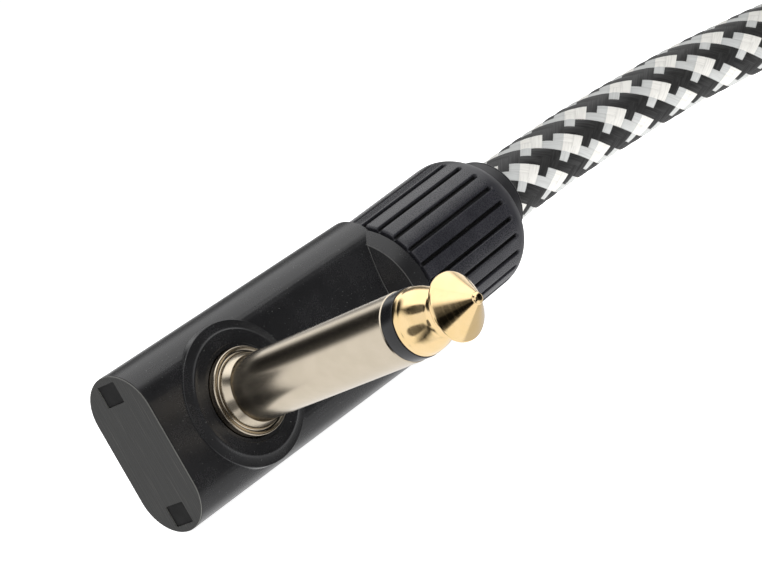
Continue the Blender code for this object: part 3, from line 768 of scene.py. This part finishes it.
def collar(prefix, place, body):
    """The rubber collar, leaning a little to one side past the nut's mouth."""
    end = COLLAR_END - COLLAR_SHORT
    profile = softened([
        (COLLAR_BORE, 14.8), (5.8, 14.8), (5.8, 16.2), (COLLAR_R, 16.2), (COLLAR_R, end - 2.6),
        (COLLAR_R, end - 0.46), (COLLAR_R - 0.07, end - 0.4), (COLLAR_R - 0.07, end - 0.3),
        (COLLAR_R, end - 0.24), (COLLAR_R - 0.14, end), (COLLAR_BORE + 0.06, end),
        (COLLAR_BORE, end - 0.1), (COLLAR_BORE, end - 2.6),
    ], 0.06)
    obj = lathe(prefix + "collar", profile, place, RUBBER, 144, True)
    for vertex in obj.data.vertices:
        bend = min(1.0, max(0.0, (vertex.co.z / MM - LEAN_START) / LEAN_RUN))
        vertex.co.x += COLLAR_LEAN * smooth(bend) * MM
    return place_piece(obj, body, "rubber", prefix + "cable_collar")


# ---------------------------------------------------------------- right-angle housing
def arc_levels(half_width, half_height, start, end, radius):
    """Slab levels with both rims rounded."""
    levels = []
    for i in range(6):
        angle = pi / 2 * i / 5
        inset, depth = radius * (1 - sin(angle)), radius * (1 - cos(angle))
        levels.append((half_width - inset, half_height - inset, start + depth))
    return levels + [(w, h, start + end - z) for w, h, z in reversed(levels)]


def neck_lines():
    """Fine beads at the foot of the neck's cone and round its rim, which catch real highlights and are
    also coloured light grey as painted highlight lines.
    """
    bow, reach, radius, sides, rows = 16.6, 5.3, 0.06, 10, 33
    crown = NECK_X - 0.88
    corners = []
    for angle in np.linspace(-reach / bow, reach / bow, rows):
        for k in range(sides):
            out = bow + radius * cos(2 * pi * k / sides)
            rise = radius * sin(2 * pi * k / sides)
            corners.append((crown + bow - out * cos(angle), out * sin(angle),
                            MID_Z + HALF_THICK + rise - 0.03))
    faces = grid_faces(rows, sides)
    faces += [tuple(range(sides)), tuple(range((rows - 1) * sides, rows * sides))]
    foot = add("neck_foot_line", corners, faces, PLUG, HIGHLIGHT_EDGE)
    circle = [(6.44 + 0.05 * cos(2 * pi * k / sides), 0.05 + 0.05 * sin(2 * pi * k / sides))
              for k in range(sides)]
    rim = lathe("neck_rim_line", circle, GLAND, HIGHLIGHT_EDGE, 160, True)
    for obj in (foot, rim):
        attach(obj, "root")


def housing():
    """The round-sided shell with its boss and neck, hollow for the shaft and the cable."""
    shell = loft("housing_shell", arc_levels(
        HALF_WIDTH, HALF_THICK, END_X + PLATE_EDGE + 0.03, HOUSING_X1, 0.09), SECTION, GLOSS)
    neck = [(0, 13.0), (5.8, 13.0), (5.9, 12.9), (5.9, 1.7), (6.05, 1.6), (7.05, 1.6), (7.12, 1.57),
            (7.14, 1.5), (7.12, 1.42)]
    neck += rounded_run([(6.52, 0.16), (6.47, 0.06), (6.40, 0.01), (6.30, -0.02)], 3)
    neck = lathe("neck", neck + [(HALF_THICK, -0.77), (0, -0.77)], GLAND, GLOSS, 160)
    boss = [(0, 0), (5.5, 0)] + rounded_run([(5.62, 0.0), (5.78, 0.02), (5.9, 0.035), (6.0, 0.01),
                                             (6.12, -0.065), (6.25, -0.12)], 4)
    boss += rounded_run([(6.88, -0.285), (6.95, -0.30), (6.99, -0.34), (7.01, -0.40)], 3)
    boss += [(7.02, -1.2), (0, -1.2)]
    boss = lathe("boss", boss, PLUG, GLOSS, 192)
    inside = HALF_THICK - WALL
    cavity = loft("cavity", [(HALF_WIDTH - WALL, inside, END_X - 1), (HALF_WIDTH - WALL, inside, 22.7)],
                  SECTION, GLOSS)
    bore = lathe("bore", [(0, 14), (5.05, 14), (5.05, 0.3), (0, 0.3)], GLAND, GLOSS, 96)
    throat = lathe("throat", [(0, 2), (2.8, 2), (2.8, -3), (0, -3)], GLAND, GLOSS, 96)
    hole = lathe("hole", [(0, 1), (4.85, 1), (4.75, -0.06), (4.7, -0.09), (4.36, -0.10), (4.33, -0.14),
                          (4.33, -4.4), (0, -4.4)], PLUG, GLOSS, 128)
    for cutter in (neck, boss, bore, throat, hole):
        cutter.modifiers.clear()
    steps = [("UNION", neck), ("UNION", boss), ("DIFFERENCE", cavity), ("DIFFERENCE", bore),
             ("DIFFERENCE", throat), ("DIFFERENCE", hole)]
    return place_piece(carve(shell, steps), "root", "black_plastic", "housing")


def end_plate():
    """The grey plate on the housing's end, with two square windows and a near-black block in each as
    painted shade.
    """
    rim = 0.09
    levels = [(HALF_WIDTH - rim, HALF_THICK - rim, END_X),
              (HALF_WIDTH - rim * 0.3, HALF_THICK - rim * 0.3, END_X + rim * 0.3),
              (HALF_WIDTH, HALF_THICK, END_X + rim), (HALF_WIDTH, HALF_THICK, END_X + PLATE_EDGE),
              (HALF_WIDTH - WALL - 0.1, HALF_THICK - WALL - 0.1, END_X + PLATE_EDGE),
              (HALF_WIDTH - WALL - 0.1, HALF_THICK - WALL - 0.1, END_X + 1.0)]
    plate = loft("end_plate", levels, SECTION, GREY)
    steps = []
    for i, y in enumerate((WINDOW_Y, -WINDOW_Y)):
        low = (y - WINDOW_W / 2, -WINDOW_H / 2, END_X - 1)
        high = (y + WINDOW_W / 2, WINDOW_H / 2, END_X + 3)
        steps.append(("DIFFERENCE", block(f"window_{i}", low, high, SECTION, DARK_GREY, 0.12)))
        # Painted shade: a near-black block set just inside each window
        half_w, half_h = WINDOW_W / 2 - 0.01, WINDOW_H / 2 - 0.01
        low, high = (y - half_w, -half_h, END_X + 0.14), (y + half_w, half_h, END_X + 0.95)
        shade = block(f"window_shade_{i}", low, high, SECTION, SHADED)
        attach(shade, "root")
    return place_piece(carve(plate, steps), "root", "grey_plastic", "end_cap")


# ---------------------------------------------------------------- straight plug and tie
def straight_shell():
    """The far plug's shell, open at both ends."""
    profile = softened([
        (4.75, 0.0), (5.4, 0.0), (5.8, -0.5), (6.0, -3.0), (6.2, -8.0), (6.7, -14.0), (7.2, -20.0),
        (7.2, SHELL_END - 1.6), (5.9, SHELL_END - 1.6), (5.9, SHELL_END - 13.0),
        (5.05, SHELL_END - 13.0), (5.05, -4.0), (4.75, -3.8),
    ], 0.25)
    obj = lathe("straight_shell", profile, FAR, GLOSS, 160, True)
    return place_piece(obj, "root", "black_plastic", "far_shell")


def tie():
    """A strap round the hank's far side and the tail that lies on it, with its end lapped over."""
    tie_x = SHAFT_X + HANK_X + TIE_X
    inner_y = HANK_Y - (TURN_OUT - TURN_IN)
    base, layer = CABLE_R + TIE_LIFT, 2 * CABLE_R
    centres = [(inner_y, base), (HANK_Y, base), (HANK_Y, base + HANK_LAYERS * layer),
               (inner_y, base + (HANK_LAYERS - 1) * layer)]
    reach, corner_points = CABLE_R + 0.12, 13
    loop = []
    for i, here in enumerate(centres):
        before, after = centres[i - 1], centres[(i + 1) % 4]
        enter = Vector((here[0] - before[0], here[1] - before[1])).normalized()
        leave = Vector((after[0] - here[0], after[1] - here[1])).normalized()
        first, second = Vector((enter.y, -enter.x)), Vector((leave.y, -leave.x))
        for k in range(corner_points):
            loop.append((Vector(here), first.slerp(second, k / (corner_points - 1))))
    half = TIE_WIDTH / 2
    outline = softened([(-half, 0.02), (-half, TIE_THICK), (half, TIE_THICK), (half, 0.02)], 0.45, 4)
    outline = outline + [(half - 0.3, 0.0), (-half + 0.3, 0.0)]
    vertices = []
    for centre, out in loop:
        for across, height in outline:
            spot = centre + out * (reach + height)
            vertices.append((tie_x + across, spot.x, spot.y))
    columns = len(outline)
    faces = grid_faces(len(loop), columns, True)
    lap = loop[2 * corner_points + 1:3 * corner_points + 9]
    start = len(vertices)
    for k, (centre, out) in enumerate(lap):
        thin, narrow = (0.55, 0.96) if k == len(lap) - 1 else (1.0, 1.0)
        for across, height in outline:
            spot = centre + out * (reach + TIE_THICK * 0.98 + height * thin)
            vertices.append((tie_x + across * narrow, spot.x, spot.y))
    faces += [tuple(start + i for i in face) for face in grid_faces(len(lap), columns)]
    faces.append(tuple(range(start, start + columns)))
    faces.append(tuple(range(len(vertices) - columns, len(vertices))))
    obj = add("strap_tie", vertices, faces, Matrix.Identity(4), STRAP)
    return place_piece(weight_normals(obj), "root", "strap", "hank_tie")


housing()
neck_lines()
end_plate()
jack_shaft("", PLUG)
ribbed_nut("", GLAND, "gland_nut_body")
collar("", GLAND, "gland_nut_body")
far_pieces = [straight_shell(), *jack_shaft("far_", FAR)]
far_pieces += [ribbed_nut("far_", FAR_GLAND, "far_gland_nut_body")]
far_pieces += [collar("far_", FAR_GLAND, "far_gland_nut_body"), tie()]

# Pieces inside the plugs: the CAD solids as they are, in their own materials
HIDDEN = {
    "cable_chuck": DARK_GREY, "thrust_ring": BRASS, "conductor": COPPER, "core_insulation": CORE,
    "ground_lug": BRASS, "inner_jacket": RUBBER, "insulating_tube": INSULATOR, "latch_frame": SHADED,
    "rear_washer": INSULATOR, "shield_pigtail": COPPER, "sleeve_nut": NICKEL, "tip_lug": BRASS,
    "tip_rivet": NICKEL,
}
for node, obj in frame["nodes"].items():
    material = HIDDEN.get(node.removeprefix("far_"))
    if material:
        obj.data.materials.clear()
        obj.data.materials.append(material)


# ---------------------------------------------------------------- floor and light
def floor():
    g = Graph("white_floor")
    g.finish(base_color=(0.8, 0.8, 0.8), roughness=0.9, emission_color=(1.0, 1.0, 1.0))
    g.shader.inputs["Emission Strength"].default_value = FLOOR_GLOW
    mesh = bpy.data.meshes.new("white_floor")
    mesh.from_pydata([(-3, -3, -1e-4), (3, -3, -1e-4), (3, 3, -1e-4), (-3, 3, -1e-4)], [], [(0, 1, 2, 3)])
    mesh.materials.append(g.material)
    obj = bpy.data.objects.new("white_floor", mesh)
    PIECES.objects.link(obj)
    obj.visible_glossy = False


def world():
    """White to the camera; to everything else a dark room with soft panels all round."""
    scene_world = bpy.data.worlds.new("studio")
    bpy.context.scene.world = scene_world
    scene_world.use_nodes = True
    tree = scene_world.node_tree
    direction = tree.nodes.new("ShaderNodeTexCoord").outputs["Generated"]

    def math(operation, a, b):
        node = tree.nodes.new("ShaderNodeMath")
        node.operation = operation
        for socket, value in zip(node.inputs, (a, b)):
            if isinstance(value, bpy.types.NodeSocket):
                tree.links.new(value, socket)
            else:
                socket.default_value = value
        return node.outputs[0]

    def zone(towards, full, edge, strength):
        """Strength within full degrees of a direction, falling to nothing at edge degrees."""
        dot = tree.nodes.new("ShaderNodeVectorMath")
        dot.operation = "DOT_PRODUCT"
        dot.inputs[1].default_value = Vector(towards).normalized()
        tree.links.new(direction, dot.inputs[0])
        fade = tree.nodes.new("ShaderNodeMapRange")
        fade.interpolation_type = "SMOOTHSTEP"
        tree.links.new(dot.outputs["Value"], fade.inputs[0])
        limits = (cos(radians(edge)), cos(radians(full)), 0, strength)
        for socket, value in zip(list(fade.inputs)[1:5], limits):
            socket.default_value = value
        return fade.outputs[0]

    glow = ROOM_GLOW
    for panel in PANELS:
        glow = math("MAXIMUM", glow, zone(*panel))
    for towards, full, edge, strength in SHADES:
        glow = math("MULTIPLY", glow, math("SUBTRACT", 1.0, zone(towards, full, edge, strength)))
    seen = tree.nodes.new("ShaderNodeLightPath").outputs["Is Camera Ray"]
    background = tree.nodes["Background"]
    tree.links.new(math("MAXIMUM", seen, glow), background.inputs["Strength"])
    background.inputs["Color"].default_value = (1, 1, 1, 1)


floor()
world()
bpy.context.scene.view_settings.view_transform = "Standard"
